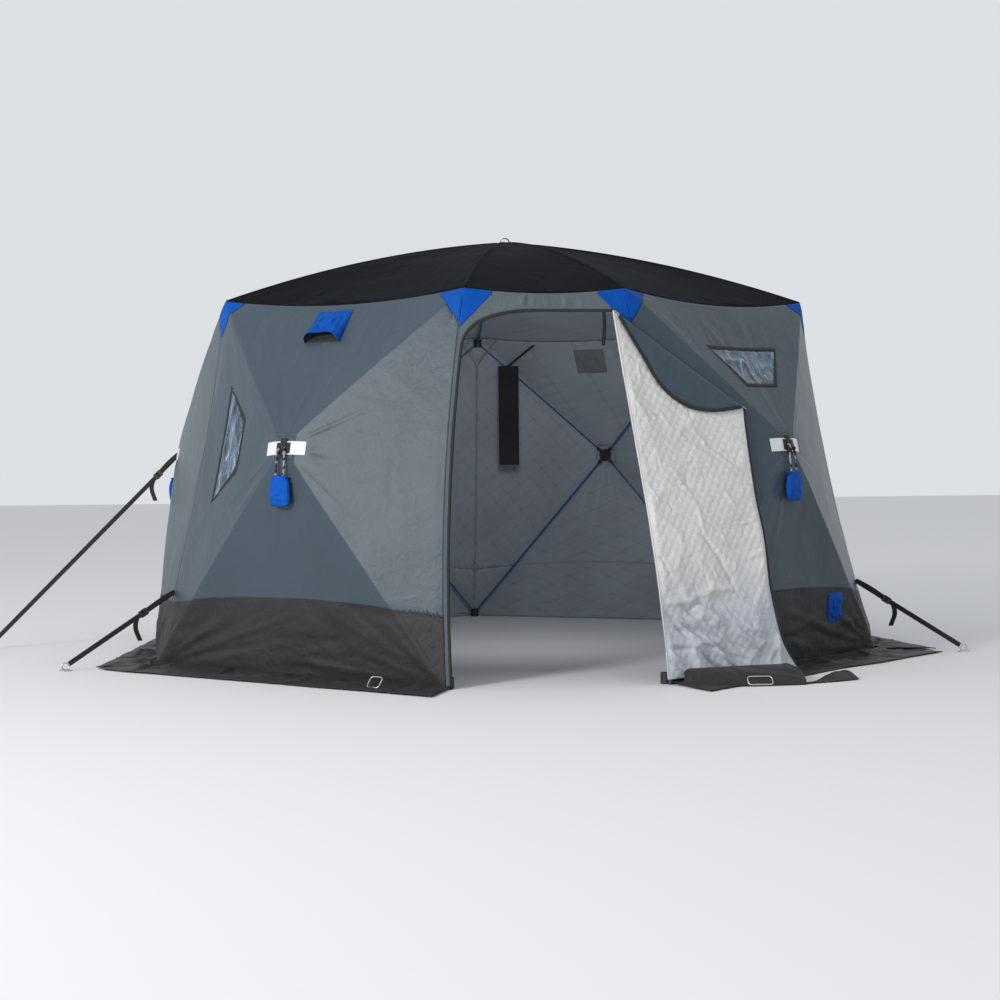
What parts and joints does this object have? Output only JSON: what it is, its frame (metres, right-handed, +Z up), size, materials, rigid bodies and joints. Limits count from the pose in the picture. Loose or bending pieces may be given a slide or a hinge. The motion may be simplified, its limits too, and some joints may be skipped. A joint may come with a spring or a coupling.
{
  "type": "ice fishing hut",
  "caption": "Pop-up fabric ice fishing hut: black domed roof, grey hub walls with windows, snow skirt and an open quilted door flap.",
  "frame": {"origin": "on the ground, below the middle of the whole hut with its stays", "axes": "+Z up, the door faces -Y, +X to the right of someone who faces the door"},
  "size_m": [5.2368, 4.7087, 2.267],
  "materials": {
    "black_fabric": "woven coated black polyester, matt",
    "grey_fabric": "woven coated grey polyester, matt with a soft sheen",
    "blue_fabric": "bright blue woven polyester",
    "quilted_lining": "pale silver quilted lining, diamond stitched",
    "zipper": "black coil zipper on tape",
    "window_vinyl": "clear flexible vinyl, creased",
    "black_plastic": "black moulded nylon",
    "blue_rod": "blue glass-fibre rod",
    "webbing": "black polypropylene webbing",
    "reflective_fabric": "silver-white reflective tape",
    "galvanised_steel": "plain bent steel"
  },
  "bodies": {
    "root": {"band_front_left": "black_fabric", "band_front_right": "black_fabric", "band_left": "black_fabric", "band_rear_left": "black_fabric", "band_rear_right": "black_fabric", "band_right": "black_fabric", "corner_cups": "black_plastic", "corner_patches": "blue_fabric", "corner_tie_downs": "webbing", "door_flap": "quilted_lining", "door_flap_hem": "black_fabric", "door_toggle": "webbing", "door_wall": "grey_fabric", "door_zipper": "zipper", "flap_zipper": "zipper", "ground_anchors": "galvanised_steel", "guy_strap": "webbing", "hanging_panel": "black_fabric", "hose_port": "blue_fabric", "hub_pouches": "blue_fabric", "hub_ropes": "webbing", "hub_straps": "webbing", "panel_strap": "webbing", "reflective_strips": "reflective_fabric", "roof_canopy": "black_fabric", "roof_cap": "black_fabric", "roof_hub": "black_plastic", "roof_rods": "blue_rod", "snow_skirt": "black_fabric", "steel_links": "galvanised_steel", "strap_buckles": "black_plastic", "vent_hoods": "blue_fabric", "wall_front_left": "grey_fabric", "wall_front_right": "grey_fabric", "wall_hubs": "black_plastic", "wall_left": "grey_fabric", "wall_rear_left": "grey_fabric", "wall_rear_right": "grey_fabric", "wall_right": "grey_fabric", "wall_rods": "blue_rod", "window_borders": "black_fabric", "window_panes": "window_vinyl"}
  },
  "joints": []
}
